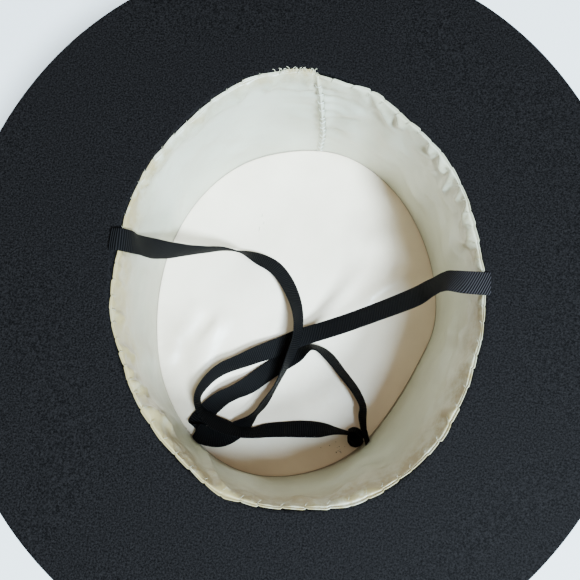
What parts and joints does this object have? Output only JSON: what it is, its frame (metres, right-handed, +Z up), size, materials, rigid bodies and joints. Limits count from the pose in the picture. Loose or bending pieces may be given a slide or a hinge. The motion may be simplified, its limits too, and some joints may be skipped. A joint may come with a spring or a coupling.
{
  "type": "cordobes hat",
  "caption": "Low flat-topped black felt hat with a flat brim, lying upturned, with a satin lining and a knotted ribbon chin strap inside.",
  "frame": {"origin": "middle of the crown's flat outer face, which lies on the surface under the upturned hat", "axes": "+Z up, from the flat of the crown to the open face of the brim; +Y towards the back of the hat, where the lining has its seam; +X to the right when looking into the hat with the back at the top"},
  "size_m": [0.2976, 0.3166, 0.0894],
  "materials": {
    "felt": "matt black felt with a fine crepe grain",
    "satin": "off-white satin, yellowed along the hem",
    "ribbon": "black ribbed grosgrain ribbon"
  },
  "bodies": {
    "root": {"felt_body": "felt", "lining_side": "satin", "lining_tip": "satin", "strap_left": "ribbon", "strap_right": "ribbon", "strap_knot": "ribbon"}
  },
  "joints": []
}
